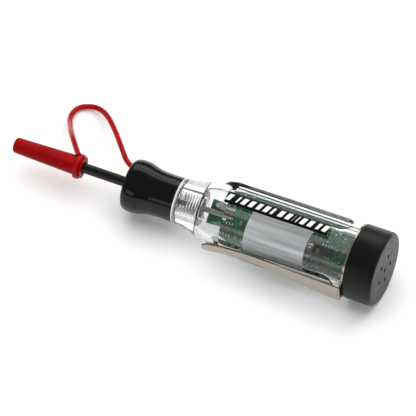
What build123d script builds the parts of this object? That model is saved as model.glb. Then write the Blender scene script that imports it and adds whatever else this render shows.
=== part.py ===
"""Circuit test light: a clear screwdriver-shaped handle with a circuit board and a cell inside,
a sleeved steel probe with a tethered tip cap, a pocket clip, and a sounder under the rear cap.

The tool lies along X: the probe tip points to -X and the rear cap to +X, with +Z up. The origin
is on the tool's axis at the middle of the rear cap's barrel. All sizes are in millimetres.
"""
import os
from math import cos, hypot, pi, radians, sin, sqrt, tan

from build123d import *

os.makedirs("parts", exist_ok=True)

# ---- driving dimensions ----------------------------------------------------------------------
# lengths along the tool, from the rear to the tip
cap_length = 12.6            # rear cap, outside
collar_thickness = 0.8       # steel collar of the pocket clip, trapped between body and cap
body_length = 78.9           # clear body, from the nose to the collar
nose_length = 22.9           # flared black nose
sleeve_exposed = 20.4        # insulated probe between the nose and the tip cap
tip_cap_length = 31.2

# rear cap and the threaded neck that it screws on
cap_lip = 0.2                # rear cap's radius over the body's
cap_end_wall = 1.8
cap_edge_fillet = 1.5
cap_mouth_chamfer = 0.3
neck_step = 2.2              # from the body's outside down to the neck inside the cap
neck_length = 8.0
thread_clearance = 0.12
sound_hole_radius = 0.95
sound_hole_ring = 6.0        # radius of the ring of sound holes
sound_hole_count = 5
sound_hole_start = 90        # degrees round from the board's side to the first hole
seal_section = 0.9           # radius of the seal ring's section
seal_clearance = 0.05

# clear body
barrel_taper = 0.6           # rise of the outside from the shoulder to the collar
shoulder_length = 23.3       # from the nose joint back to the shoulder
waist_radius = 9.65          # outside at the nose joint
shoulder_sag = 0.7           # of the curve from the nose up to the shoulder
shoulder_sag_place = 0.46    # share of the shoulder's length
body_wall = 2.6
neck_bore = 5.0              # bore around the contact spring
cavity_front_gap = 11.4      # behind the nose joint
cavity_front_step = 3.6      # from the spring's bore out to the front of the cavity
cavity_front_chamfer = 0.6
flat_angles = (60, 180, 300)  # three grip flats, in degrees about the axis from the window
flat_depth = 0.9
flat_width = 10.6
flat_rear_gap = 3.6          # flats stop this far in front of the collar
rail_width = 1.2
rail_overlap = 0.9           # of each rail over the board's edge
rail_clearance = 0.15
rail_sink = 0.4              # of each rail into the wall
rail_end_gap = 2.0           # from the shoulder and from the collar

# nose
nose_waist_radius = 9.5
nose_flare_radius = 11.3
nose_face_radius = 8.7
nose_swell = 0.7             # of the nose's middle over its waist
nose_seat_gap = 0.3          # between the spigot's end and the nose
spigot_radius = 7.4          # front spigot of the body inside the nose
spigot_length = 9.0
joint_clearance = 0.05       # between pieces that are pushed or screwed together

# probe
rod_radius = 1.5
rod_point_length = 6.0
rod_point_radius = 0.12
rod_tail = 3.6               # behind the ferrule
rod_tail_chamfer = 0.4
rod_hidden = 24.9            # length of bare rod inside the tip cap
sleeve_wall = 0.68
sleeve_in_cap = 1.2
sleeve_in_nose = 12.0
ferrule_length = 8.6
ferrule_chamfer = 0.3

# tip cap
tip_cap_wall = 1.8           # over the rod at the closed end
tip_cap_end_rounding = 1.3
tip_cap_mouth_radius = 4.2
tip_flange_step = 0.45       # flange's radius over the cap's
tip_flange_length = 1.0
tip_flange_edge = 0.2
tip_mouth_clearance = 0.42   # around the sleeve
tip_mouth_depth = 5.0
tip_bore_lead = 0.8          # cone between the mouth and the rod's bore
tip_end_wall = 2.6

# tether
tether_radius = 1.15
tether_anchor = (6.6, 1.6)   # place of the plug on the nose's face, over +Y and +Z
tether_plug_radius = 1.6
tether_plug_neck = 1.6
tether_plug_depth = 3.0
tether_ring_width = 2.2
tether_ring_radius = 5.3
tether_ring_rounding = 0.45
tether_spur_length = 5.6
tether_ring_gap = 1.1        # from the flange to the ring

# circuit board, turned about the axis with the window that shows it
board_turn = 36.87           # degrees about X
board_thickness = 1.6
board_height = -4.7          # component side, measured from the axis
board_edge_gap = 0.51        # from the board's back edges to the cavity's wall
board_tongue_gap = 0.25      # from the tongue's back edges to the front of the cavity
board_front_gap = 12.6       # behind the nose joint
board_shoulder_gap = 18.6
board_corner = 2.4           # front corners cut back to clear the shoulder
board_rear_gap = 1.2         # in front of the collar
board_hole_radius = 0.5

# cell
cell_radius = 7.8
cell_length = 28.0
cell_wrap = 0.25
cell_side = -1.8             # cell's axis over the board's width
cell_front_gap = 33.4        # behind the nose joint
cell_lift = 0.2              # above the board
cell_clearance = 1.041       # to the cavity's wall

# contact spring
spring_radius = 4.15
spring_wire = 0.45
spring_pitch = 1.45
spring_gap = 1.3             # behind the nose joint
spring_length = 9.6
contact_gauge = 0.5
contact_width = 2.4

# sounder
sounder_radius = 6.9
sounder_length = 5.6
sounder_gap = 0.9            # to the cap's end wall
sounder_hole_radius = 1.1
sounder_hole_depth = 2.0
sounder_rounding = 0.5
pin_radius = 0.3
pin_half_pitch = 3.2
pin_on_board = 3.0

# pocket clip
clip_gauge = 0.8
clip_root_width = 8.8
clip_tip_width = 4.4
clip_stand_off = 2.2         # outside of the strap at its root over the body
clip_root_run = 6.0          # length of the strap at its full width
clip_bump_clearance = 0.5    # between the strap's bump and the grip flat
clip_bump_reach = 42.0       # from the collar forward to the bump
clip_reach = 61.5            # from the collar forward to the flared tip
clip_tip_lift = 2.9          # middle of the strap at its tip over the grip flat
clip_tip_taper = 1.6
clip_root_gap = 0.15         # slit between the strap and the collar's leg

# ---- stations along the axis ------------------------------------------------------------------
x_rear = cap_length / 2
x_mouth = -cap_length / 2
x_body_rear = x_mouth - collar_thickness
x_nose_joint = x_body_rear - body_length
x_nose_front = x_nose_joint - nose_length
x_cap_mouth = x_nose_front - sleeve_exposed
x_tip_end = x_cap_mouth - tip_cap_length
x_neck_rear = x_mouth + neck_length
x_shoulder = x_nose_joint + shoulder_length

# ---- sizes that follow the cell, the board and the rod -------------------------------------------
cell_up = board_height + cell_lift + cell_radius
cavity_radius = hypot(cell_side, cell_up) + cell_radius + cell_clearance
shoulder_radius = cavity_radius + body_wall
barrel_radius = shoulder_radius + barrel_taper
cap_radius = barrel_radius + cap_lip
neck_radius = barrel_radius - neck_step
clip_root_radius = barrel_radius + clip_stand_off
flat_floor = shoulder_radius - flat_depth
clip_tip_radius = flat_floor + clip_tip_lift
cavity_front_radius = neck_bore + cavity_front_step
board_back = board_height - board_thickness
board_half_width = sqrt(cavity_radius**2 - board_back**2) - board_edge_gap
board_tongue_half_width = sqrt(cavity_front_radius**2 - board_back**2) - board_tongue_gap
sleeve_radius = rod_radius + sleeve_wall
tip_cap_end_radius = rod_radius + tip_cap_wall
tip_flange_radius = tip_cap_mouth_radius + tip_flange_step
tip_mouth_bore = sleeve_radius + tip_mouth_clearance

# ---- directions and planes --------------------------------------------------------------------
board_up = Vector(0, -sin(radians(board_turn)), cos(radians(board_turn)))
board_side = Vector(0, cos(radians(board_turn)), sin(radians(board_turn)))
clip_out = board_up.rotate(Axis.X, flat_angles[0])


def across(x):
    """Plane square to the tool: local x over the board's width, local y up from the board."""
    return Plane(origin=(x, 0, 0), x_dir=board_side, z_dir=(1, 0, 0))


def over_board(height):
    """Plane parallel to the board: local x along the tool, local y over the board's width."""
    return Plane(origin=board_up * height, x_dir=(1, 0, 0), z_dir=board_up)


def beside(direction):
    """Plane that holds the axis and a direction: local x along the tool, local y outwards."""
    return Plane(origin=(0, 0, 0), x_dir=(1, 0, 0), z_dir=Vector(1, 0, 0).cross(direction))


def finish(piece, name):
    """Name a finished piece and write it."""
    piece.part.label = name
    export_step(piece.part, f"parts/{name}.step")


# ---- clear body -------------------------------------------------------------------------------
def body_outline():
    """Outside of the clear body from the nose joint to the collar."""
    front = (x_nose_joint, waist_radius)
    middle_radius = (waist_radius + shoulder_radius) / 2 - shoulder_sag
    middle = (x_nose_joint + shoulder_sag_place * shoulder_length, middle_radius)
    shoulder = (x_shoulder, shoulder_radius)
    curve = Spline(front, middle, shoulder, tangents=[(1, 0.04), (1, 0.05)])
    Line(curve @ 1, (x_body_rear, barrel_radius))


with BuildPart() as handle_body:
    with BuildSketch(Plane.XY):
        with BuildLine():
            body_outline()
            x_cavity_front = x_nose_joint + cavity_front_gap
            Polyline(
                (x_body_rear, barrel_radius),
                (x_body_rear, neck_radius),
                (x_neck_rear, neck_radius),
                (x_neck_rear, cavity_radius),
                (x_shoulder, cavity_radius),
                (x_cavity_front + cavity_front_chamfer, cavity_front_radius),
                (x_cavity_front, cavity_front_radius - cavity_front_chamfer),
                (x_cavity_front, neck_bore),
                (x_nose_joint - spigot_length, neck_bore),
                (x_nose_joint - spigot_length, spigot_radius),
                (x_nose_joint, spigot_radius),
                (x_nose_joint, waist_radius),
            )
        make_face()
    revolve(axis=Axis.X)
    # three grip flats, closed by a round end in front of the collar
    flat_rear = x_body_rear - flat_rear_gap
    flat_reach = body_length
    for angle in flat_angles:
        direction = board_up.rotate(Axis.X, angle)
        floor = Plane(origin=direction * flat_floor, x_dir=(1, 0, 0), z_dir=direction)
        with BuildSketch(floor):
            with Locations((flat_rear - flat_reach / 2, 0)):
                SlotOverall(flat_reach, flat_width)
        extrude(amount=2 * flat_depth + barrel_taper, mode=Mode.SUBTRACT)
    # two rails on each side hold the board's edges
    rail_inner = board_half_width - rail_overlap
    rail_length = x_body_rear - x_shoulder - 2 * rail_end_gap
    over_rail = board_height + rail_clearance
    under_rail = board_back - rail_clearance - rail_width
    for level, near_level in ((over_rail, over_rail + rail_width), (under_rail, under_rail + rail_width)):
        rail_reach = sqrt(cavity_radius**2 - near_level**2) + rail_sink - rail_inner
        rail_middle = rail_inner + rail_reach / 2
        with BuildSketch(over_board(level)):
            with Locations(((x_shoulder + x_body_rear) / 2, 0)):
                with Locations((0, rail_middle), (0, -rail_middle)):
                    Rectangle(rail_length, rail_reach)
        extrude(amount=rail_width)
finish(handle_body, "handle_body")

# ---- nose and probe ---------------------------------------------------------------------------
x_spigot_seat = x_nose_joint - spigot_length - nose_seat_gap
with BuildPart() as nose_collar:
    with BuildSketch(Plane.XY):
        with BuildLine():
            flare_x = x_nose_joint - 0.79 * nose_length
            curve = Spline(
                (x_nose_joint, waist_radius),
                (x_nose_joint - 0.24 * nose_length, nose_waist_radius),
                (x_nose_joint - 0.56 * nose_length, nose_waist_radius + nose_swell),
                (flare_x, nose_flare_radius),
                tangents=[(-1, -0.05), (-1, 0)],
            )
            rim = Spline(
                curve @ 1,
                (x_nose_front, nose_face_radius),
                tangents=[(-1, 0), (0, -1)],
                tangent_scalars=[1.6, 1.2],
            )
            Polyline(
                rim @ 1,
                (x_nose_front, sleeve_radius + joint_clearance),
                (x_spigot_seat, sleeve_radius + joint_clearance),
                (x_spigot_seat, spigot_radius + joint_clearance),
                (x_nose_joint, spigot_radius + joint_clearance),
                (x_nose_joint, waist_radius),
            )
        make_face()
    revolve(axis=Axis.X)
    with BuildSketch(Plane.YZ.offset(x_nose_front)):
        with Locations(tether_anchor):
            Circle(tether_plug_radius + joint_clearance)
    extrude(amount=tether_plug_depth + nose_seat_gap, mode=Mode.SUBTRACT)
finish(nose_collar, "nose_collar")

with BuildPart() as probe_ferrule:
    with BuildSketch(Plane.YZ.offset(x_nose_joint + spring_gap)):
        Circle(neck_bore - joint_clearance)
        Circle(rod_radius + joint_clearance / 2, mode=Mode.SUBTRACT)
    extrude(amount=-ferrule_length)
    chamfer(probe_ferrule.edges().filter_by(GeomType.CIRCLE).sort_by(Axis.X)[-1], ferrule_chamfer)
finish(probe_ferrule, "probe_ferrule")

x_rod_tip = x_cap_mouth - rod_hidden
x_rod_tail = x_nose_joint + spring_gap + rod_tail
with BuildPart() as probe_rod:
    with BuildSketch(Plane.XY):
        with BuildLine():
            Polyline(
                (x_rod_tip, 0),
                (x_rod_tip, rod_point_radius),
                (x_rod_tip + rod_point_length, rod_radius),
                (x_rod_tail - rod_tail_chamfer, rod_radius),
                (x_rod_tail, rod_radius - rod_tail_chamfer),
                (x_rod_tail, 0),
                close=True,
            )
        make_face()
    revolve(axis=Axis.X)
finish(probe_rod, "probe_rod")

with BuildPart() as probe_sleeve:
    with BuildSketch(Plane.YZ.offset(x_cap_mouth - sleeve_in_cap)):
        Circle(sleeve_radius)
        Circle(rod_radius + joint_clearance / 2, mode=Mode.SUBTRACT)
    extrude(amount=sleeve_in_cap + sleeve_exposed + sleeve_in_nose)
finish(probe_sleeve, "probe_sleeve")

# ---- tip cap and tether -----------------------------------------------------------------------
x_flange_front = x_cap_mouth - tip_flange_length
x_bore_lead = x_cap_mouth - tip_mouth_depth - tip_bore_lead
with BuildPart() as tip_cap:
    with BuildSketch(Plane.XY):
        with BuildLine():
            Polyline(
                (x_tip_end, 0),
                (x_tip_end, tip_cap_end_radius),
                (x_flange_front - tip_flange_edge, tip_cap_mouth_radius),
                (x_flange_front, tip_flange_radius - tip_flange_edge),
                (x_flange_front + tip_flange_edge, tip_flange_radius),
                (x_cap_mouth - tip_flange_edge, tip_flange_radius),
                (x_cap_mouth, tip_flange_radius - tip_flange_edge),
                (x_cap_mouth, tip_mouth_bore),
                (x_bore_lead + tip_bore_lead, tip_mouth_bore),
                (x_bore_lead, rod_radius + joint_clearance),
                (x_tip_end + tip_end_wall, rod_radius + joint_clearance),
                (x_tip_end + tip_end_wall, 0),
                close=True,
            )
        make_face()
    revolve(axis=Axis.X)
    fillet(tip_cap.edges().group_by(Axis.X)[0], tip_cap_end_rounding)
finish(tip_cap, "tip_cap")

# the tether's route, by hand: out of the nose, over to the side, down to the surface and back;
# each place is measured from the nose's face
tether_places = [
    (0.0, *tether_anchor),
    (-4.3, 8.3, 1.4),
    (-10.0, 15.9, -0.8),
    (-18.4, 27.5, -5.0),
    (-26.3, 37.0, -9.1),
    (-32.9, 41.2, -11.9),
    (-40.1, 38.9, -12.8),
    (-41.1, 32.2, -12.0),
    (-37.5, 24.4, -8.4),
    (-31.8, 13.5, 0.7),
    (-26.5, 6.0, 3.2),
]
tether_route = [(x_nose_front + along, y, z) for along, y, z in tether_places]


def corner_radii(points):
    """Radius of each corner: 0.45 of its shorter run over the tangent of half its turn."""
    radii = []
    for before, corner, after in zip(points, points[1:], points[2:]):
        run_in = Vector(corner) - Vector(before)
        run_out = Vector(after) - Vector(corner)
        half_turn = radians(run_in.get_angle(run_out)) / 2
        radii.append(0.45 * min(run_in.length, run_out.length) / tan(half_turn))
    return radii


tether_radii = corner_radii(tether_route)
print("tether radii", [round(radius, 1) for radius in tether_radii])
with BuildPart() as tether_cord:
    with BuildLine() as tether_path:
        FilletPolyline(*tether_route, radius=tether_radii)
    with BuildSketch(Plane(origin=tether_path.line @ 0, z_dir=tether_path.line % 0)):
        Circle(tether_radius)
    sweep()
tether_length = sum(edge.length for edge in tether_path.edges())
tether_section = pi * tether_radius**2
print("tether length", round(tether_length, 1))
print("tether volume over section times length", tether_cord.part.volume / tether_section / tether_length)
finish(tether_cord, "tether_cord")

# moulded plug in the nose, with a short neck that the cord leaves from
plug_direction = (Vector(tether_route[1]) - Vector(tether_route[0])).normalized()
with BuildPart() as tether_plug:
    with BuildSketch(Plane.YZ.offset(x_nose_front + tether_plug_depth)):
        with Locations(tether_anchor):
            Circle(tether_plug_radius)
    extrude(amount=-tether_plug_depth)
    with BuildSketch(Plane(origin=tether_route[0], z_dir=plug_direction)):
        Circle(tether_radius)
    extrude(amount=-tether_plug_neck)
    split(bisect_by=Plane(origin=tether_route[0], z_dir=plug_direction), keep=Keep.BOTTOM)
finish(tether_plug, "tether_plug")

# ring around the tip cap behind its flange, with a spur that meets the cord's end
x_ring = x_flange_front - tether_ring_gap
ring_bore = tip_cap_mouth_radius + joint_clearance
spur_direction = (Vector(tether_route[-2]) - Vector(tether_route[-1])).normalized()
with BuildPart() as tether_ring:
    with BuildSketch(Plane(origin=tether_route[-1], z_dir=spur_direction)):
        Circle(tether_radius)
    extrude(amount=-tether_spur_length)
    with BuildSketch(Plane.XY):
        with Locations((x_ring, (ring_bore + tether_ring_radius) / 2)):
            RectangleRounded(tether_ring_width, tether_ring_radius - ring_bore, tether_ring_rounding)
    revolve(axis=Axis.X)
    with BuildSketch(Plane.YZ.offset(x_ring)):
        Circle(ring_bore)
    extrude(amount=tether_spur_length, both=True, mode=Mode.SUBTRACT)
finish(tether_ring, "tether_ring")

# ---- rear cap, seal and sounder ---------------------------------------------------------------
with BuildPart() as rear_cap:
    with BuildSketch(Plane.YZ.offset(x_mouth)):
        Circle(cap_radius)
    extrude(amount=cap_length)
    fillet(rear_cap.edges().group_by(Axis.X)[-1], cap_edge_fillet)
    chamfer(rear_cap.edges().group_by(Axis.X)[0], cap_mouth_chamfer)
    with BuildSketch(Plane.YZ.offset(x_mouth)):
        Circle(neck_radius + thread_clearance)
    extrude(amount=cap_length - cap_end_wall, mode=Mode.SUBTRACT)
    # wider recess at the mouth for the seal ring
    with BuildSketch(Plane.YZ.offset(x_mouth)):
        Circle(neck_radius + 2 * seal_section + 2 * seal_clearance)
    extrude(amount=2 * seal_section + seal_clearance, mode=Mode.SUBTRACT)
    with BuildSketch(across(x_rear)):
        Circle(sound_hole_radius)
        with PolarLocations(sound_hole_ring, sound_hole_count, start_angle=sound_hole_start):
            Circle(sound_hole_radius)
    extrude(amount=-2 * cap_end_wall, mode=Mode.SUBTRACT)
finish(rear_cap, "rear_cap")

with BuildPart() as cap_seal:
    with BuildSketch(Plane.XY):
        with Locations((x_mouth + seal_section, neck_radius + seal_clearance + seal_section)):
            Circle(seal_section)
    revolve(axis=Axis.X)
finish(cap_seal, "cap_seal")

x_sounder = x_rear - cap_end_wall - sounder_gap - sounder_length
with BuildPart() as sounder:
    with BuildSketch(Plane.YZ.offset(x_sounder)):
        Circle(sounder_radius)
    extrude(amount=sounder_length)
    fillet(sounder.edges().group_by(Axis.X)[-1], sounder_rounding)
    with BuildSketch(Plane.YZ.offset(x_sounder + sounder_length)):
        Circle(sounder_hole_radius)
    extrude(amount=-sounder_hole_depth, mode=Mode.SUBTRACT)
finish(sounder, "sounder")

x_board_rear = x_body_rear - board_rear_gap
pin_height = board_height + pin_radius
with BuildPart() as sounder_pins:
    with BuildSketch(across(x_sounder)):
        with Locations((pin_half_pitch, pin_height), (-pin_half_pitch, pin_height)):
            Circle(pin_radius)
    extrude(amount=x_board_rear - pin_on_board - x_sounder)
finish(sounder_pins, "sounder_pins")

# ---- circuit board ----------------------------------------------------------------------------
x_board_front = x_nose_joint + board_front_gap
x_board_shoulder = x_nose_joint + board_shoulder_gap
with BuildPart() as circuit_board:
    with BuildSketch(over_board(board_height)):
        with BuildLine():
            Polyline(
                (x_board_front, -board_tongue_half_width),
                (x_board_shoulder, -board_tongue_half_width),
                (x_board_shoulder, -board_half_width + board_corner),
                (x_board_shoulder + 2 * board_corner, -board_half_width),
                (x_board_rear, -board_half_width),
                (x_board_rear, board_half_width),
                (x_board_shoulder + 2 * board_corner, board_half_width),
                (x_board_shoulder, board_half_width - board_corner),
                (x_board_shoulder, board_tongue_half_width),
                (x_board_front, board_tongue_half_width),
                close=True,
            )
        make_face()
        with Locations((x_board_shoulder + 6.0, board_half_width - 1.8), (x_board_rear - 1.8, 8.4)):
            Circle(board_hole_radius, mode=Mode.SUBTRACT)
    extrude(amount=-board_thickness)
finish(circuit_board, "circuit_board")

# contact spring between the probe's ferrule and the board's front contact
x_spring = x_nose_joint + spring_gap
spring_mean_radius = spring_radius - spring_wire
with BuildPart() as contact_spring:
    with BuildLine() as spring_path:
        Helix(
            pitch=spring_pitch,
            height=spring_length - 2 * spring_wire,
            radius=spring_mean_radius,
            center=(x_spring + spring_wire, 0, 0),
            direction=(1, 0, 0),
        )
    with BuildSketch(Plane(origin=spring_path.line @ 0, z_dir=spring_path.line % 0)):
        Circle(spring_wire)
    sweep(is_frenet=True)
finish(contact_spring, "contact_spring")

x_contact = x_spring + spring_length + 0.1
with BuildPart() as spring_contact:
    with BuildSketch(across(x_contact)):
        Circle(spring_radius + 0.1)
    extrude(amount=contact_gauge)
    with BuildSketch(over_board(-spring_radius)):
        with Locations((x_contact + 2.2, 0)):
            Rectangle(4.4, contact_width)
    extrude(amount=contact_gauge)
    with BuildSketch(over_board(board_height)):
        with Locations((x_contact + 3.6, 0)):
            Rectangle(1.6, contact_width)
    extrude(amount=-spring_radius - board_height + contact_gauge)
finish(spring_contact, "spring_contact")

with BuildPart() as terminal_screw:
    with BuildSketch(over_board(board_height)):
        with Locations((x_nose_joint + 15.6, 3.7)):
            Circle(1.75)
    extrude(amount=1.4)
    with BuildSketch(over_board(board_height + 1.4)):
        with Locations((x_nose_joint + 15.6, 3.7)):
            Rectangle(2.8, 0.5, rotation=35)
    extrude(amount=-0.5, mode=Mode.SUBTRACT)
finish(terminal_screw, "terminal_screw")

# thin insulated lead from the contact spring's foot back to the board
lead_radius = 0.45
lead_height = board_height + lead_radius + 0.05
lead_points = [
    (x_contact + 4.6 + lead_radius, 1.0, lead_height),
    (x_contact + 6.0, -0.7, lead_height + 1.0),
    (x_contact + 7.8, -1.4, lead_height + 0.8),
    (x_contact + 9.6, -1.4, lead_height),
]


def from_board(x, side, height):
    """Point given along the tool, over the board's width and up from the axis."""
    return Vector(x, 0, 0) + board_side * side + board_up * height


with BuildPart() as probe_lead:
    with BuildLine() as lead_path:
        Spline(*[from_board(*point) for point in lead_points])
    with BuildSketch(Plane(origin=lead_path.line @ 0, z_dir=lead_path.line % 0)):
        Circle(lead_radius)
    sweep()
finish(probe_lead, "probe_lead")

# ---- components on the board ------------------------------------------------------------------
# places are measured back from the nose joint and over the board's width, and the outer ones follow
# the board's edges
near_edge = board_half_width - 2.0
off_edge = board_half_width - 2.8
far_off_edge = board_half_width - 3.6
driver_chip_places = [(21.9, -4.9), (65.2, -0.6)]
comparator_place = (21.0, 1.6)
resistor_places = [
    (24.0, far_off_edge), (26.2, 4.0), (19.6, off_edge), (17.4, -4.4), (66.0, far_off_edge),
    (71.0, -off_edge),
]
capacitor_places = [
    (22.4, 5.0), (27.4, -0.8), (26.9, -off_edge), (63.4, far_off_edge), (61.6, 3.4), (72.6, 1.6),
]
solder_places = [
    (15.0, -3.8), (18.0, 5.0), (28.8, near_edge), (29.8, -near_edge), (62.0, near_edge),
    (69.0, near_edge), (74.0, -near_edge),
]
led_places = [(70.2, 0.4), (72.0, 4.6), (72.6, -3.8)]
diode_place = (67.8, -off_edge)
transistor_radius = 1.8
transistor_gap = 0.5         # behind the cell
transistor_along = cell_front_gap + cell_length + transistor_gap + transistor_radius
transistor_place = (transistor_along, -far_off_edge)


def chip(length, width, height, legs, pitch):
    """A small outline chip lying along the tool, with its legs on both long sides."""
    leg_width = 0.4
    leg_reach = 0.9
    leg_thickness = 0.22
    standoff = 0.1
    with BuildPart() as body:
        with BuildSketch(Plane.XY.offset(standoff)):
            Rectangle(length, width)
        extrude(amount=height - standoff)
        chamfer(body.faces().sort_by(Axis.Z)[-1].edges(), 0.18)
        with BuildSketch(Plane.XY.offset(height)):
            with Locations((length / 2 - 0.8, -width / 2 + 0.9)):
                Circle(0.3)
        extrude(amount=-0.1, mode=Mode.SUBTRACT)
        with BuildSketch(Plane.XY):
            with GridLocations(pitch, width + leg_reach, legs, 2):
                Rectangle(leg_width, leg_reach + 0.3)
        extrude(amount=leg_thickness)
    return body.part


def on_board(place, turn=0):
    """Location on the component side of the board."""
    along, side = place
    x = x_nose_joint + along
    plane = Plane(origin=from_board(x, side, board_height), x_dir=(1, 0, 0), z_dir=board_up)
    return plane.location * Rot(0, 0, turn)


driver = chip(4.9, 3.9, 1.5, 4, 1.27)
with BuildPart() as driver_chips:
    with Locations(*[on_board(place) for place in driver_chip_places]):
        add(driver)
finish(driver_chips, "driver_chips")

comparator = chip(5.0, 2.6, 1.1, 7, 0.65)
with BuildPart() as comparator_chip:
    with Locations(on_board(comparator_place)):
        add(comparator)
finish(comparator_chip, "comparator_chip")

resistor_size = (1.6, 0.85, 0.45)
with BuildPart() as resistors:
    with Locations(*[on_board(place) for place in resistor_places]):
        Box(*resistor_size, align=(Align.CENTER, Align.CENTER, Align.MIN))
finish(resistors, "resistors")

capacitor_size = (1.3, 2.0, 1.1)
with BuildPart() as capacitors:
    with Locations(*[on_board(place) for place in capacitor_places]):
        Box(*capacitor_size, align=(Align.CENTER, Align.CENTER, Align.MIN))
    fillet(capacitors.edges().filter_by(Axis.X), 0.2)
finish(capacitors, "capacitors")

with BuildPart() as solder_joints:
    with Locations(*[on_board(place) for place in solder_places]):
        Cone(0.75, 0.35, 0.6, align=(Align.CENTER, Align.CENTER, Align.MIN))
finish(solder_joints, "solder_joints")

# clear 3 mm indicator lamps that stand on the board
led_radius = 1.5
led_barrel = 2.0
with BuildPart() as lamp:
    Cylinder(led_radius + 0.25, 0.6, align=(Align.CENTER, Align.CENTER, Align.MIN))
    Cylinder(led_radius, led_barrel, align=(Align.CENTER, Align.CENTER, Align.MIN))
    with Locations((0, 0, led_barrel)):
        Sphere(led_radius)
with BuildPart() as indicator_lamps:
    with Locations(*[on_board(place) for place in led_places]):
        add(lamp.part)
finish(indicator_lamps, "indicator_lamps")

with BuildPart() as diode:
    with Locations(on_board(diode_place)):
        Box(4.2, 2.4, 1.6, align=(Align.CENTER, Align.CENTER, Align.MIN))
    chamfer(diode.edges().filter_by(Axis.X).group_by(SortBy.LENGTH)[-1], 0.25)
finish(diode, "diode")

# black half-round transistor behind the cell
with BuildPart() as transistor:
    with BuildSketch(Plane.XY):
        Circle(transistor_radius)
        with Locations((0, -transistor_radius)):
            Rectangle(5, 0.7 * transistor_radius, mode=Mode.SUBTRACT)
    extrude(amount=3.6)
transistor_home = on_board(transistor_place, 90)
transistor.part = transistor_home * transistor.part
finish(transistor, "transistor")

# ---- cell and its contacts --------------------------------------------------------------------
x_cell = x_nose_joint + cell_front_gap
cell_centre = (cell_side, cell_up)
cap_nub_length = 0.9
can_radius = cell_radius - cell_wrap - 0.02
with BuildPart() as cell_can:
    with BuildSketch(across(x_cell)):
        with Locations(cell_centre):
            Circle(can_radius)
    extrude(amount=cell_length - cap_nub_length)
    fillet(cell_can.edges().filter_by(GeomType.CIRCLE), 0.5)
    with BuildSketch(across(x_cell + cell_length - cap_nub_length)):
        with Locations(cell_centre):
            Circle(3.2)
    extrude(amount=cap_nub_length)
finish(cell_can, "cell_can")

with BuildPart() as cell_wrapper:
    with BuildSketch(across(x_cell + 0.2)):
        with Locations(cell_centre):
            Circle(cell_radius)
            Circle(cell_radius - cell_wrap, mode=Mode.SUBTRACT)
    extrude(amount=cell_length - cap_nub_length - 0.4)
finish(cell_wrapper, "cell_wrapper")

tab_gauge = 0.4
tab_width = 5.0
tab_height = cell_up + 1.5 - board_height
for name, tab_x, foot_side in (
    ("cell_contact_front", x_cell - 0.05 - tab_gauge, -1),
    ("cell_contact_rear", x_cell + cell_length + 0.05, 1),
):
    with BuildPart() as cell_contact:
        with BuildSketch(across(tab_x)):
            with Locations((cell_side, board_height + tab_height / 2)):
                RectangleRounded(tab_width, tab_height, 0.8)
        extrude(amount=tab_gauge)
        foot = 1.0
        with BuildSketch(over_board(board_height)):
            with Locations((tab_x + tab_gauge / 2 + foot_side * foot / 2, cell_side)):
                Rectangle(foot, tab_width - 2)
        extrude(amount=tab_gauge)
    finish(cell_contact, name)

# ---- pocket clip ------------------------------------------------------------------------------
with BuildPart() as clip_collar:
    with BuildSketch(Plane.YZ.offset(x_body_rear + joint_clearance)):
        Circle(barrel_radius)
        Circle(neck_radius + joint_clearance, mode=Mode.SUBTRACT)
    extrude(amount=collar_thickness - 2 * joint_clearance)
    with BuildSketch(
        Plane(
            origin=(x_body_rear + joint_clearance, 0, 0),
            x_dir=Vector(1, 0, 0).cross(clip_out),
            z_dir=(1, 0, 0),
        )
    ):
        with Locations((0, -(clip_root_radius + neck_radius) / 2)):
            Rectangle(clip_root_width, clip_root_radius - neck_radius)
        Circle(neck_radius + joint_clearance, mode=Mode.SUBTRACT)
    extrude(amount=collar_thickness - 2 * joint_clearance)
finish(clip_collar, "clip_collar")

x_clip_rear = x_body_rear + joint_clearance - clip_root_gap
strap_middle = clip_root_radius - clip_gauge / 2
bump_middle = flat_floor + clip_bump_clearance + clip_gauge / 2
with BuildPart() as clip_arm:
    with BuildSketch(beside(clip_out)):
        with BuildLine():
            down = Spline(
                (x_clip_rear, strap_middle),
                (x_body_rear - clip_bump_reach, bump_middle),
                tangents=[(-1, 0), (-1, 0)],
                tangent_scalars=[0.9, 0.6],
            )
            Spline(
                down @ 1,
                (x_body_rear - clip_reach, clip_tip_radius),
                tangents=[(-1, 0), (-1, 0.22)],
                tangent_scalars=[0.8, 0.9],
            )
        trace(line_width=clip_gauge)
    extrude(amount=clip_root_width / 2, both=True)
    with BuildSketch(Plane(origin=clip_out * 10, x_dir=(1, 0, 0), z_dir=clip_out)):
        with BuildLine():
            Polyline(
                (x_clip_rear + 1, clip_root_width / 2),
                (x_clip_rear - clip_root_run, clip_root_width / 2),
                (x_body_rear - clip_bump_reach, clip_tip_width / 2),
                (x_body_rear - clip_reach + 1.8, clip_tip_width / 2),
                (x_body_rear - clip_reach - 0.6, clip_tip_width / 2 - clip_tip_taper),
                (x_body_rear - clip_reach - 0.6, -clip_tip_width / 2 + clip_tip_taper),
                (x_body_rear - clip_reach + 1.8, -clip_tip_width / 2),
                (x_body_rear - clip_bump_reach, -clip_tip_width / 2),
                (x_clip_rear - clip_root_run, -clip_root_width / 2),
                (x_clip_rear + 1, -clip_root_width / 2),
                close=True,
            )
        make_face()
    extrude(amount=12, mode=Mode.INTERSECT)
finish(clip_arm, "clip_arm")
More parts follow.
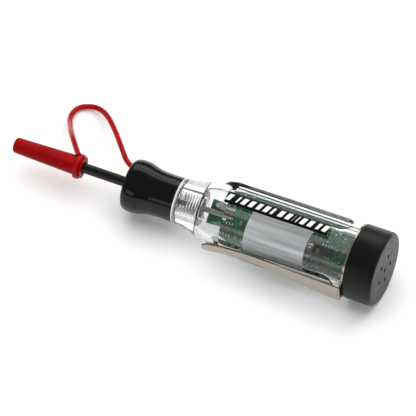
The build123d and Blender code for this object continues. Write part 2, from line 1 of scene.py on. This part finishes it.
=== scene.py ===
import bpy
import math
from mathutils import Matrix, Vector


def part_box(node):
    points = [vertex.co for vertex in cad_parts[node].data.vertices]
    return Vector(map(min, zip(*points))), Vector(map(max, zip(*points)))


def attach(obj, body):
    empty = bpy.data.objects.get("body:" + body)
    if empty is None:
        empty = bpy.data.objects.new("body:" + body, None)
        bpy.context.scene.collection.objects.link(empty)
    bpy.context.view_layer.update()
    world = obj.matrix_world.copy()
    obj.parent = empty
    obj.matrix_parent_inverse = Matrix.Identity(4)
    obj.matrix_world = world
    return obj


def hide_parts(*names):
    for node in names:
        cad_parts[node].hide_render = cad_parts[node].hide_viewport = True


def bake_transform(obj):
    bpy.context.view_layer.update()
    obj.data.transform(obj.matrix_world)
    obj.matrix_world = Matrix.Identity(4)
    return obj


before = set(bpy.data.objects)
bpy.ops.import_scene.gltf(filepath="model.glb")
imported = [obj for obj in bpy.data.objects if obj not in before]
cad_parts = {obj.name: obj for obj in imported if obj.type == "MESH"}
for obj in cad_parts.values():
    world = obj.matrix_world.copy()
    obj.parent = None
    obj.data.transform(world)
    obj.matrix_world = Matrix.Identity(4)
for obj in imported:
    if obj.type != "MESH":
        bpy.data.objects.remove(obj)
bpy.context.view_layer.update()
mm = 0.001
bpy.ops.object.select_all(action="DESELECT")
print("frame loaded")

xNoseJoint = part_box("nose_collar")[1].x  # where the black nose meets the clear body

boardTurn = math.radians(36.87)  # the board and its window face this far round from straight up
boardUp = Vector((0, -math.sin(boardTurn), math.cos(boardTurn)))
boardSide = Vector((0, math.cos(boardTurn), math.sin(boardTurn)))
boardHeight = -4.7 * mm  # component side of the board, from the tool's axis


# a colour given as an sRGB hex code, in the linear values that the shaders take
def srgb(code):
    parts = [int(code[i:i + 2], 16) / 255 for i in (1, 3, 5)]
    return tuple(c / 12.92 if c <= 0.04045 else ((c + 0.055) / 1.055) ** 2.4 for c in parts) + (1,)


def newMaterial(name):
    material = bpy.data.materials.new(name)
    material.use_nodes = True
    material.node_tree.nodes.clear()
    return material, material.node_tree


# an input takes a value, or what another node or socket gives
def addNode(tree, kind, settings, inputs):
    node = tree.nodes.new(kind)
    for key, value in settings.items():
        setattr(node, key, value)
    for key, value in inputs.items():
        if isinstance(value, bpy.types.Node):
            value = value.outputs[0]
        if isinstance(value, bpy.types.NodeSocket):
            tree.links.new(value, node.inputs[key])
        else:
            node.inputs[key].default_value = value
    return node


def coat(names, material):
    for name in names:
        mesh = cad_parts[name].data
        mesh.materials.clear()
        mesh.materials.append(material)


# a very long lens, so that the view is nearly parallel; the frame's width is in millimetres at the target
cameraSetup = {
    "azimuth": 23.7,
    "elevation": 50.7,
    "target": (-68.7, -10.2, 14.95),
    "frameWidth": 171.2,
    "lens": 1400,
    "sensor": 36,
    "farClip": 20,
}


def addCamera():
    azimuth = math.radians(cameraSetup["azimuth"])
    elevation = math.radians(cameraSetup["elevation"])
    back = Vector((
        math.sin(azimuth) * math.cos(elevation),
        -math.cos(azimuth) * math.cos(elevation),
        math.sin(elevation),
    ))
    distance = cameraSetup["frameWidth"] * cameraSetup["lens"] / cameraSetup["sensor"] * mm
    target = Vector(cameraSetup["target"]) * mm
    bpy.ops.object.camera_add(location=target + back * distance)
    camera = bpy.context.object
    camera.rotation_euler = back.to_track_quat("Z", "Y").to_euler()
    camera.data.lens = cameraSetup["lens"]
    camera.data.sensor_width = cameraSetup["sensor"]
    camera.data.clip_end = cameraSetup["farClip"]
    bpy.context.scene.camera = camera


addCamera()
print("camera placed")

# limp red vinyl tether: out of the nose, over to the side, and back to the ring behind the tip cap
tether = {
    "diameter": 2.3 * mm,
    "length": 97 * mm,
    "stepsAlong": 16,
    "stepsRound": 8,
    "route": [
        (-108.9, 6.6, 1.6),
        (-113.2, 8.3, 1.4),
        (-118.9, 15.9, -0.8),
        (-127.3, 27.5, -5.0),
        (-135.2, 37.0, -9.1),
        (-141.8, 41.2, -11.9),
        (-149.0, 38.9, -12.8),
        (-150.0, 32.2, -12.0),
        (-146.4, 24.4, -8.4),
        (-140.7, 13.5, 0.7),
        (-135.4, 6.0, 3.2),
    ],
}


def routeCurve(name, points, bevel):
    data = bpy.data.curves.new(name, "CURVE")
    data.dimensions = "3D"
    data.resolution_u = tether["stepsAlong"]
    spline = data.splines.new("NURBS")
    spline.points.add(len(points) - 1)
    for place, point in zip(spline.points, points):
        place.co = (point[0] * mm, point[1] * mm, point[2] * mm, 1)
    spline.order_u = 3
    spline.use_endpoint_u = True
    data.bevel_depth = bevel
    data.bevel_resolution = tether["stepsRound"]
    data.use_fill_caps = True
    curve = bpy.data.objects.new(name, data)
    bpy.context.scene.collection.objects.link(curve)
    return curve


# the bare line of the route, as points along it
def routePoints(points):
    bare = routeCurve("bareRoute", points, 0)
    line = bpy.data.meshes.new_from_object(bare)
    places = [vertex.co.copy() for vertex in line.vertices]
    bpy.data.objects.remove(bare)
    return places


def curveToMesh(curve, name):
    mesh = bpy.data.meshes.new_from_object(curve)
    bpy.data.objects.remove(curve)
    piece = bpy.data.objects.new(name, mesh)
    bpy.context.scene.collection.objects.link(piece)
    for face in mesh.polygons:
        face.use_smooth = True
    return piece


tetherPath = routePoints(tether["route"])
tetherPiece = curveToMesh(routeCurve("tetherCurve", tether["route"], tether["diameter"] / 2), "tetherCord")
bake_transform(tetherPiece)
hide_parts("tether_cord")
print("tether laid")


# a thin printed plate on the land beside the window; sizes in millimetres, and round in degrees from
# the board's way up
printBand = {
    "front": -64.3,
    "rear": -18.2,
    "round": 32.0,
    "width": 6.0,
    "proud": 0.08,
    "film": 0.05,
    "start": 17.5,
    "columns": 120,
    "rows": 20,
}


def addPrintBand():
    turn = math.radians(printBand["round"])
    outward = boardUp * math.cos(turn) + boardSide * math.sin(turn)
    length = (printBand["rear"] - printBand["front"]) * mm
    middle = (printBand["rear"] + printBand["front"]) / 2 * mm
    place = Vector((middle, 0, 0)) + outward * printBand["start"] * mm
    tilt = math.atan2(-outward.y, outward.z)
    bpy.ops.mesh.primitive_grid_add(
        x_subdivisions=printBand["columns"],
        y_subdivisions=printBand["rows"],
        size=1,
        location=place,
        rotation=(tilt, 0, 0),
    )
    piece = bpy.context.object
    piece.name = "printBand"
    bpy.ops.object.mode_set(mode="EDIT")
    bpy.ops.mesh.select_all(action="SELECT")
    bpy.ops.transform.resize(value=(length, printBand["width"] * mm, 1), orient_type="LOCAL")
    bpy.ops.object.mode_set(mode="OBJECT")
    wrap = piece.modifiers.new("wrap", "SHRINKWRAP")
    wrap.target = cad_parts["handle_body"]
    wrap.wrap_method = "PROJECT"
    wrap.use_project_z = True
    wrap.use_positive_direction = False
    wrap.use_negative_direction = True
    wrap.offset = printBand["proud"] * mm
    film = piece.modifiers.new("film", "SOLIDIFY")
    film.thickness = printBand["film"] * mm
    bpy.ops.object.modifier_apply(modifier="wrap")
    bpy.ops.object.modifier_apply(modifier="film")
    bpy.ops.object.transform_apply(location=True, rotation=True, scale=True)
    bpy.ops.object.shade_smooth()
    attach(piece, "handle")
    return piece


printPiece = addPrintBand()
bpy.ops.object.select_all(action="DESELECT")
print("print band laid")


# coordinates turned so that x runs along the tool, y over the board's width and z up from the board
def boardCoords(tree):
    coords = addNode(tree, "ShaderNodeTexCoord", {}, {})
    return addNode(tree, "ShaderNodeMapping", {},
                   {"Vector": coords.outputs["Object"], "Rotation": (-boardTurn, 0, 0)})


def setStops(ramp, stops):
    for element, (position, colour) in zip(ramp.color_ramp.elements, stops):
        element.position = position
        element.color = colour


def toned(colour, factor):
    return tuple(min(1, part * factor) for part in colour[:3]) + (1,)


# sizes are in millimetres; real mould grain is near 0.05 mm, drawn coarser here so that it shows
plasticLook = {
    "metallic": 0.0,
    "shine": 0.5,
    "stretch": (1, 1, 1),
    "spot": 6.0,
    "spotDetail": 3,
    "spotRange": (0.3, 0.7),
    "mottle": 0.06,
    "glossSpread": 0.15,
    "grain": 0.0,
    "grainSize": 0.4,
    "grainDetail": 2,
    "grainDepth": 0.05,
}


# moulded plastic: the mould gives a slow mottle in colour and gloss, over its fine grain
def plastic(name, changes):
    look = {**plasticLook, **changes}
    material, tree = newMaterial(name)
    coords = addNode(tree, "ShaderNodeTexCoord", {}, {})
    drawn = addNode(tree, "ShaderNodeMapping", {},
                    {"Vector": coords.outputs["Object"], "Scale": look["stretch"]})
    spots = addNode(tree, "ShaderNodeTexNoise", {},
                    {"Vector": drawn, "Scale": 1 / (look["spot"] * mm), "Detail": look["spotDetail"]})
    colour = srgb(look["colour"])
    low, high = look["spotRange"]
    ramp = addNode(tree, "ShaderNodeValToRGB", {}, {"Fac": spots})
    spread = look["mottle"] * 2
    setStops(ramp, ((low, toned(colour, 1 - spread)), (high, toned(colour, 1 + spread))))
    gloss = addNode(tree, "ShaderNodeMapRange", {},
                    {"Value": spots, "From Min": low, "From Max": high,
                     "To Min": look["roughness"] * (1 - look["glossSpread"]),
                     "To Max": look["roughness"] * (1 + look["glossSpread"])})
    fine = addNode(tree, "ShaderNodeTexNoise", {},
                   {"Vector": drawn, "Scale": 1 / (look["grainSize"] * mm), "Detail": look["grainDetail"]})
    bump = addNode(tree, "ShaderNodeBump", {},
                   {"Height": fine, "Strength": look["grain"], "Distance": look["grainDepth"] * mm})
    shader = addNode(tree, "ShaderNodeBsdfPrincipled", {},
                     {"Base Color": ramp, "Roughness": gloss, "Normal": bump,
                      "Metallic": look["metallic"], "Specular IOR Level": look["shine"]})
    addNode(tree, "ShaderNodeOutputMaterial", {}, {"Surface": shader})
    return material


# rolling and turning marks are near 0.02 mm in the real metal, drawn coarser here so that they show
metalLook = {
    "stretch": (1, 1, 1),
    "markSize": 1.0,
    "markDetail": 4,
    "markRange": (0.35, 0.65),
    "dark": 0.75,
    "glossRange": (0.3, 0.7),
    "glossSpread": (0.75, 1.3),
    "grain": 0.15,
    "grainDepth": 0.03,
}


# bare or plated metal: marks in colour, gloss and height, drawn out along the way it was worked
def metal(name, changes):
    look = {**metalLook, **changes}
    material, tree = newMaterial(name)
    coords = addNode(tree, "ShaderNodeTexCoord", {}, {})
    drawn = addNode(tree, "ShaderNodeMapping", {},
                    {"Vector": coords.outputs["Object"], "Scale": look["stretch"]})
    marks = addNode(tree, "ShaderNodeTexNoise", {},
                    {"Vector": drawn, "Scale": 1 / (look["markSize"] * mm), "Detail": look["markDetail"]})
    colour = srgb(look["colour"])
    ramp = addNode(tree, "ShaderNodeValToRGB", {}, {"Fac": marks})
    setStops(ramp, zip(look["markRange"], (toned(colour, look["dark"]), colour)))
    gloss = addNode(tree, "ShaderNodeMapRange", {},
                    {"Value": marks, "From Min": look["glossRange"][0], "From Max": look["glossRange"][1],
                     "To Min": look["roughness"] * look["glossSpread"][0],
                     "To Max": look["roughness"] * look["glossSpread"][1]})
    bump = addNode(tree, "ShaderNodeBump", {},
                   {"Height": marks, "Strength": look["grain"], "Distance": look["grainDepth"] * mm})
    shader = addNode(tree, "ShaderNodeBsdfPrincipled", {},
                     {"Base Color": ramp, "Roughness": gloss, "Normal": bump, "Metallic": 1.0})
    addNode(tree, "ShaderNodeOutputMaterial", {}, {"Surface": shader})
    return material


clearLook = {
    "ior": 1.5,
    "flow": (0.25, 1, 1),
    "rippleSize": 5,
    "rippleDetail": 1,
    "ripple": 0.05,
    "rippleDepth": 0.1,
    "shadowTint": "#F8F9F9",
}
# the screw thread of the rear neck, and a painted highlight: a thin band where the clear body turns opaque
# white against the nose, standing for its edge catching the light
threadSetup = {"pitch": 2.0, "front": -5.4, "depth": 0.5, "paintedHighlightBand": 0.4}


# clear moulding: bends what is seen through it, ripples slightly the way the plastic flowed, and lets
# the lamps through to what it holds; the thread is a height in the same surface
def clearPlastic(name, tint, roughness, thread=None):
    material, tree = newMaterial(name)
    coords = addNode(tree, "ShaderNodeTexCoord", {}, {})
    flow = addNode(tree, "ShaderNodeMapping", {},
                   {"Vector": coords.outputs["Object"], "Scale": clearLook["flow"]})
    ripple = addNode(tree, "ShaderNodeTexNoise", {},
                     {"Vector": flow, "Scale": 1 / (clearLook["rippleSize"] * mm),
                      "Detail": clearLook["rippleDetail"]})
    surface = addNode(tree, "ShaderNodeBump", {},
                      {"Height": ripple, "Strength": clearLook["ripple"],
                       "Distance": clearLook["rippleDepth"] * mm})
    clear = 1.0
    if thread:
        parts = addNode(tree, "ShaderNodeSeparateXYZ", {}, {"Vector": coords.outputs["Object"]})
        along = parts.outputs["X"]
        around = addNode(tree, "ShaderNodeMath", {"operation": "ARCTAN2"},
                         {0: parts.outputs["Y"], 1: parts.outputs["Z"]})
        turns = addNode(tree, "ShaderNodeMath", {"operation": "MULTIPLY"},
                        {0: along, 1: 2 * math.pi / (thread["pitch"] * mm)})
        helix = addNode(tree, "ShaderNodeMath", {"operation": "SUBTRACT"}, {0: turns, 1: around})
        wave = addNode(tree, "ShaderNodeMath", {"operation": "SINE"}, {0: helix})
        onNeck = addNode(tree, "ShaderNodeMath", {"operation": "GREATER_THAN"},
                         {0: along, 1: thread["front"] * mm})
        ridges = addNode(tree, "ShaderNodeMath", {"operation": "MULTIPLY"}, {0: wave, 1: onNeck})
        surface = addNode(tree, "ShaderNodeBump", {},
                          {"Height": ridges, "Normal": surface,
                           "Strength": 1.0, "Distance": thread["depth"] * mm})
        # painted highlight: no light passes through the body up to just behind the nose joint, so it shows
        # there as a thin white band standing for the edge catching the light
        clear = addNode(tree, "ShaderNodeMath", {"operation": "GREATER_THAN"},
                        {0: along, 1: xNoseJoint + thread["paintedHighlightBand"] * mm})
    glass = addNode(tree, "ShaderNodeBsdfPrincipled", {},
                    {"Normal": surface, "Base Color": srgb(tint), "Roughness": roughness,
                     "IOR": clearLook["ior"], "Transmission Weight": clear})
    through = addNode(tree, "ShaderNodeBsdfTransparent", {}, {"Color": srgb(clearLook["shadowTint"])})
    rays = addNode(tree, "ShaderNodeLightPath", {}, {})
    mixed = addNode(tree, "ShaderNodeMixShader", {},
                    {"Fac": rays.outputs["Is Shadow Ray"], 1: glass, 2: through})
    addNode(tree, "ShaderNodeOutputMaterial", {}, {"Surface": mixed})
    return material


# real traces are near 0.3 mm wide, drawn coarser here so that they show through the body
boardSetup = {
    "traceSpacing": 3.4,
    "traceShare": 0.05,
    "padSpacing": 2.6,
    "padShare": 0.11,
    "relief": 0.5,
    "reliefDepth": 0.04,
    "roughness": 0.3,
    "shine": 0.15,
    "mask": "#024A2E",
    "overCopper": "#0A6B45",
    "tin": "#C4C6C0",
}


# glass-fibre board under solder mask: dark green and smooth, lighter where copper runs under it, with
# bare tinned pads here and there
def boardMask(name, board):
    material, tree = newMaterial(name)
    place = boardCoords(tree)
    runs = addNode(tree, "ShaderNodeTexVoronoi", {"feature": "DISTANCE_TO_EDGE"},
                   {"Vector": place, "Scale": 1 / (board["traceSpacing"] * mm)})
    pads = addNode(tree, "ShaderNodeTexVoronoi", {"feature": "F1", "distance": "CHEBYCHEV"},
                   {"Vector": place, "Scale": 1 / (board["padSpacing"] * mm)})
    onRun = addNode(tree, "ShaderNodeMath", {"operation": "LESS_THAN"},
                    {0: runs.outputs["Distance"], 1: board["traceShare"]})
    onPad = addNode(tree, "ShaderNodeMath", {"operation": "LESS_THAN"},
                    {0: pads.outputs["Distance"], 1: board["padShare"]})
    green = addNode(tree, "ShaderNodeMix", {"data_type": "RGBA"},
                    {"Factor": onRun, "A": srgb(board["mask"]), "B": srgb(board["overCopper"])})
    colour = addNode(tree, "ShaderNodeMix", {"data_type": "RGBA"},
                     {"Factor": onPad, "A": green.outputs["Result"], "B": srgb(board["tin"])})
    raised = addNode(tree, "ShaderNodeMath", {"operation": "ADD"}, {0: onRun, 1: onPad})
    bump = addNode(tree, "ShaderNodeBump", {},
                   {"Height": raised, "Strength": board["relief"], "Distance": board["reliefDepth"] * mm})
    shader = addNode(tree, "ShaderNodeBsdfPrincipled", {},
                     {"Base Color": colour.outputs["Result"], "Metallic": onPad, "Normal": bump,
                      "Roughness": board["roughness"], "Specular IOR Level": board["shine"]})
    addNode(tree, "ShaderNodeOutputMaterial", {}, {"Surface": shader})
    return material


chipSetup = {
    "legTop": 0.225,
    "dark": "#0D0D0E",
    "light": "#1E1E20",
    "tin": "#C9C9C6",
    "roughness": 0.42,
    "speckle": 0.3,
    "speckleDetail": 2,
    "relief": 0.3,
    "reliefDepth": 0.03,
}


# chip: transfer-moulded epoxy, matt black with a faint speckle, and tinned legs close to the board
def chipEpoxy(name, chip):
    material, tree = newMaterial(name)
    place = boardCoords(tree)
    parts = addNode(tree, "ShaderNodeSeparateXYZ", {}, {"Vector": place})
    onLeg = addNode(tree, "ShaderNodeMath", {"operation": "LESS_THAN"},
                    {0: parts.outputs["Z"], 1: boardHeight + chip["legTop"] * mm})
    speckle = addNode(tree, "ShaderNodeTexNoise", {},
                      {"Vector": place, "Scale": 1 / (chip["speckle"] * mm), "Detail": chip["speckleDetail"]})
    body = addNode(tree, "ShaderNodeMix", {"data_type": "RGBA"},
                   {"Factor": speckle, "A": srgb(chip["dark"]), "B": srgb(chip["light"])})
    colour = addNode(tree, "ShaderNodeMix", {"data_type": "RGBA"},
                     {"Factor": onLeg, "A": body.outputs["Result"], "B": srgb(chip["tin"])})
    bump = addNode(tree, "ShaderNodeBump", {},
                   {"Height": speckle, "Strength": chip["relief"], "Distance": chip["reliefDepth"] * mm})
    shader = addNode(tree, "ShaderNodeBsdfPrincipled", {},
                     {"Base Color": colour.outputs["Result"], "Metallic": onLeg, "Normal": bump,
                      "Roughness": chip["roughness"]})
    addNode(tree, "ShaderNodeOutputMaterial", {}, {"Surface": shader})
    return material


inkSetup = {
    "radius": 15.6,
    "slant": -0.35,
    "pitch": 3.3,
    "barShare": 0.6,
    "barHeight": 3.3,
    "cutPitch": 2.7,
    "cutShare": 0.08,
    "roughness": 0.35,
    "shine": 0.15,
    "black": "#020202",
    "white": "#E6E6E4",
}


# pad-printed ink: flat black with a row of plain white slanted bars, some of them cut by a thin slot
def printedInk(name, ink):
    material, tree = newMaterial(name)
    parts = addNode(tree, "ShaderNodeSeparateXYZ", {}, {"Vector": boardCoords(tree)})
    around = addNode(tree, "ShaderNodeMath", {"operation": "ARCTAN2"},
                     {0: parts.outputs["Y"], 1: parts.outputs["Z"]})
    offset = addNode(tree, "ShaderNodeMath", {"operation": "SUBTRACT"},
                     {0: around, 1: math.radians(printBand["round"])})
    across = addNode(tree, "ShaderNodeMath", {"operation": "MULTIPLY"}, {0: offset, 1: ink["radius"]})
    fromFront = addNode(tree, "ShaderNodeMath", {"operation": "SUBTRACT"},
                        {0: parts.outputs["X"], 1: printBand["front"] * mm})
    along = addNode(tree, "ShaderNodeMath", {"operation": "MULTIPLY"}, {0: fromFront, 1: 1 / mm})
    lean = addNode(tree, "ShaderNodeMath", {"operation": "MULTIPLY"}, {0: across, 1: ink["slant"]})
    slanted = addNode(tree, "ShaderNodeMath", {"operation": "ADD"}, {0: along, 1: lean})
    middles = []
    for pitch in (ink["pitch"], ink["pitch"] * ink["cutPitch"]):
        count = addNode(tree, "ShaderNodeMath", {"operation": "DIVIDE"}, {0: slanted, 1: pitch})
        share = addNode(tree, "ShaderNodeMath", {"operation": "FRACT"}, {0: count})
        centred = addNode(tree, "ShaderNodeMath", {"operation": "SUBTRACT"}, {0: share, 1: 0.5})
        middles.append(addNode(tree, "ShaderNodeMath", {"operation": "ABSOLUTE"}, {0: centred}))
    height = addNode(tree, "ShaderNodeMath", {"operation": "ABSOLUTE"}, {0: across})
    inBar = addNode(tree, "ShaderNodeMath", {"operation": "LESS_THAN"},
                    {0: middles[0], 1: ink["barShare"] / 2})
    uncut = addNode(tree, "ShaderNodeMath", {"operation": "GREATER_THAN"},
                    {0: middles[1], 1: ink["cutShare"]})
    inRow = addNode(tree, "ShaderNodeMath", {"operation": "LESS_THAN"}, {0: height, 1: ink["barHeight"] / 2})
    cutBars = addNode(tree, "ShaderNodeMath", {"operation": "MULTIPLY"}, {0: inBar, 1: uncut})
    bars = addNode(tree, "ShaderNodeMath", {"operation": "MULTIPLY"}, {0: cutBars, 1: inRow})
    colour = addNode(tree, "ShaderNodeMix", {"data_type": "RGBA"},
                     {"Factor": bars, "A": srgb(ink["black"]), "B": srgb(ink["white"])})
    shader = addNode(tree, "ShaderNodeBsdfPrincipled", {},
                     {"Base Color": colour.outputs["Result"], "Roughness": ink["roughness"],
                      "Specular IOR Level": ink["shine"]})
    addNode(tree, "ShaderNodeOutputMaterial", {}, {"Surface": shader})
    return material


# polycarbonate from a polished mould: glass-clear, with a sharp highlight down each edge
clearPolycarbonate = clearPlastic("clearPolycarbonate", "#FCFDFD", 0.01, threadSetup)
# cast epoxy of the lamps: clear and faintly cool
clearEpoxy = clearPlastic("clearEpoxy", "#F9FAFD", 0.03)
# ABS from a polished mould: near black, so that its highlights are what gives its form
glossBlackAbs = plastic("glossBlackAbs", {
    "colour": "#030303",
    "roughness": 0.13,
    "grain": 0.02,
    "shine": 0.3,
})
# ABS from a spark-eroded mould: a fine grain that spreads the light into a soft sheen
satinBlackAbs = plastic("satinBlackAbs", {
    "colour": "#090909",
    "roughness": 0.36,
    "grain": 0.22,
    "shine": 0.24,
})
# extruded vinyl sleeve: black with a dull line of light along it
blackSleeveVinyl = plastic("blackSleeveVinyl", {
    "colour": "#060606",
    "roughness": 0.34,
    "grain": 0.1,
    "shine": 0.35,
})
# dip-moulded vinyl: deep red all through, with a waxy sheen
satinRedVinyl = plastic("satinRedVinyl", {
    "colour": "#960006",
    "roughness": 0.36,
    "grain": 0.12,
    "shine": 0.08,
})
# injection-moulded and extruded vinyl: a clearer red with small bright highlights
glossRedVinyl = plastic("glossRedVinyl", {
    "colour": "#A40008",
    "roughness": 0.2,
    "grain": 0.04,
    "shine": 0.16,
})
# moulded nitrile rubber: charcoal and almost without gloss
blackNitrile = plastic("blackNitrile", {
    "colour": "#101010",
    "roughness": 0.6,
    "grain": 0.3,
})
# fired ceramic of the chip capacitors: plain matt brown
tanCeramic = plastic("tanCeramic", {
    "colour": "#6A5840",
    "roughness": 0.4,
    "grain": 0.1,
})
# extruded PVC insulation: off-white and smooth
whitePvc = plastic("whitePvc", {
    "colour": "#DADAD6",
    "roughness": 0.35,
    "grain": 0.05,
})
# metallised shrink film: pale silver grey, with long faint wrinkles along the cell
silverFilm = plastic("silverFilm", {
    "colour": "#BCBDBF",
    "roughness": 0.46,
    "grain": 0.5,
    "grainSize": 0.8,
    "mottle": 0.12,
    "metallic": 0.15,
    "stretch": (0.06, 1, 1),
    "spot": 1.6,
})
blackEpoxy = chipEpoxy("blackEpoxy", chipSetup)
greenMask = boardMask("greenMask", boardSetup)
printInk = printedInk("printInk", inkSetup)
# drawn and ground steel: bright, with soft uneven marks
brightSteel = metal("brightSteel", {
    "colour": "#B4B4B4",
    "roughness": 0.2,
})
# nickel on rolled spring steel: warm grey, with fine rolling marks along the strip
nickelPlate = metal("nickelPlate", {
    "colour": "#B4AC9E",
    "roughness": 0.17,
    "stretch": (0.03, 1, 1),
    "markSize": 0.3,
    "grain": 0.08,
    "dark": 0.9,
})
# tin solder as it froze: bright but a little rough
solderTin = metal("solderTin", {
    "colour": "#C4C4C2",
    "roughness": 0.3,
})

coat(["handle_body"], clearPolycarbonate)
coat(["indicator_lamps"], clearEpoxy)
coat(["nose_collar"], glossBlackAbs)
coat(["rear_cap", "sounder"], satinBlackAbs)
coat(["probe_sleeve"], blackSleeveVinyl)
coat(["tip_cap"], satinRedVinyl)
coat(["tether_ring", "tether_plug"], glossRedVinyl)
tetherPiece.data.materials.append(glossRedVinyl)
printPiece.data.materials.append(printInk)
coat(["cap_seal"], blackNitrile)
coat(["driver_chips", "comparator_chip", "resistors", "diode", "transistor"], blackEpoxy)
coat(["capacitors"], tanCeramic)
coat(["probe_lead"], whitePvc)
coat(["probe_rod", "probe_ferrule", "contact_spring", "cell_can"], brightSteel)
coat(["clip_collar", "clip_arm", "cell_contact_front", "cell_contact_rear"], nickelPlate)
coat(["solder_joints", "sounder_pins", "spring_contact", "terminal_screw"], solderTin)
coat(["cell_wrapper"], silverFilm)
coat(["circuit_board"], greenMask)
print("materials given")


# pale studio: a matt floor, and large soft lamps in metres round the tool; one fills without showing in
# the gloss, and three are mirrored in it
studio = {
    "floorTilt": 0.81,
    "floorTop": -16.0,
    "floorClear": 0.05,
    "floorX": -6.0,
    "floorSize": 8,
    "floorColour": "#F6F6F6",
    "floorRoughness": 0.9,
    "floorGlow": 0.12,
    "horizon": (0.05, 0.17),
    "zenith": (0.6, 0.30),
    "aim": (-0.07, 0, 0),
}
softboxes = [
    {
        "name": "overheadFill",
        "place": (-0.1, 0.1, 1.0),
        "size": (1.5, 1.1),
        "radiance": 2.1,
        "mirrored": False,
    },
    {
        "name": "backSoftbox",
        "place": (-0.1, 0.85, 0.75),
        "size": (1.5, 0.7),
        "radiance": 1.6,
        "mirrored": True,
    },
    {
        "name": "frontSoftbox",
        "place": (-0.45, -1.1, 0.3),
        "size": (0.7, 0.3),
        "radiance": 1.2,
        "mirrored": True,
    },
    {
        "name": "rearSoftbox",
        "place": (1.1, 0.1, 0.6),
        "size": (0.7, 0.5),
        "radiance": 1.0,
        "mirrored": True,
    },
]


# the tool rests on its rear cap and the front of its barrel, so the floor leans to the tool's axis
def addFloor():
    tilt = math.radians(studio["floorTilt"])
    place = (studio["floorX"] * mm, 0, (studio["floorTop"] - studio["floorClear"]) * mm)
    bpy.ops.mesh.primitive_plane_add(size=studio["floorSize"], location=place, rotation=(0, tilt, 0))
    floor = bpy.context.object
    floor.name = "floor"
    material, tree = newMaterial("palePaper")
    shader = addNode(tree, "ShaderNodeBsdfPrincipled", {},
                     {"Base Color": srgb(studio["floorColour"]), "Roughness": studio["floorRoughness"],
                      "Emission Color": (1, 1, 1, 1), "Emission Strength": studio["floorGlow"]})
    addNode(tree, "ShaderNodeOutputMaterial", {}, {"Surface": shader})
    floor.data.materials.append(material)


def addSoftbox(box):
    width, depth = box["size"]
    bpy.ops.object.light_add(type="AREA", location=box["place"])
    lamp = bpy.context.object
    lamp.name = box["name"]
    lamp.data.shape = "RECTANGLE"
    lamp.data.size = width
    lamp.data.size_y = depth
    lamp.data.energy = box["radiance"] * math.pi * width * depth
    lamp.visible_glossy = box["mirrored"]
    lamp.rotation_euler = (Vector(box["place"]) - Vector(studio["aim"])).to_track_quat("Z", "Y").to_euler()


# a plain grey surround, darker towards the floor
def addWorld():
    world = bpy.data.worlds.new("studioWorld")
    world.use_nodes = True
    tree = world.node_tree
    tree.nodes.clear()
    coords = addNode(tree, "ShaderNodeTexCoord", {}, {})
    parts = addNode(tree, "ShaderNodeSeparateXYZ", {}, {"Vector": coords.outputs["Generated"]})
    ramp = addNode(tree, "ShaderNodeValToRGB", {}, {"Fac": parts.outputs["Z"]})
    setStops(ramp, [(height, (grey,) * 3 + (1,)) for height, grey in (studio["horizon"], studio["zenith"])])
    sky = addNode(tree, "ShaderNodeBackground", {}, {"Color": ramp})
    addNode(tree, "ShaderNodeOutputWorld", {}, {"Surface": sky})
    bpy.context.scene.world = world


addFloor()
for softbox in softboxes:
    addSoftbox(softbox)
addWorld()
bpy.context.scene.view_settings.view_transform = "Standard"
print("studio set")
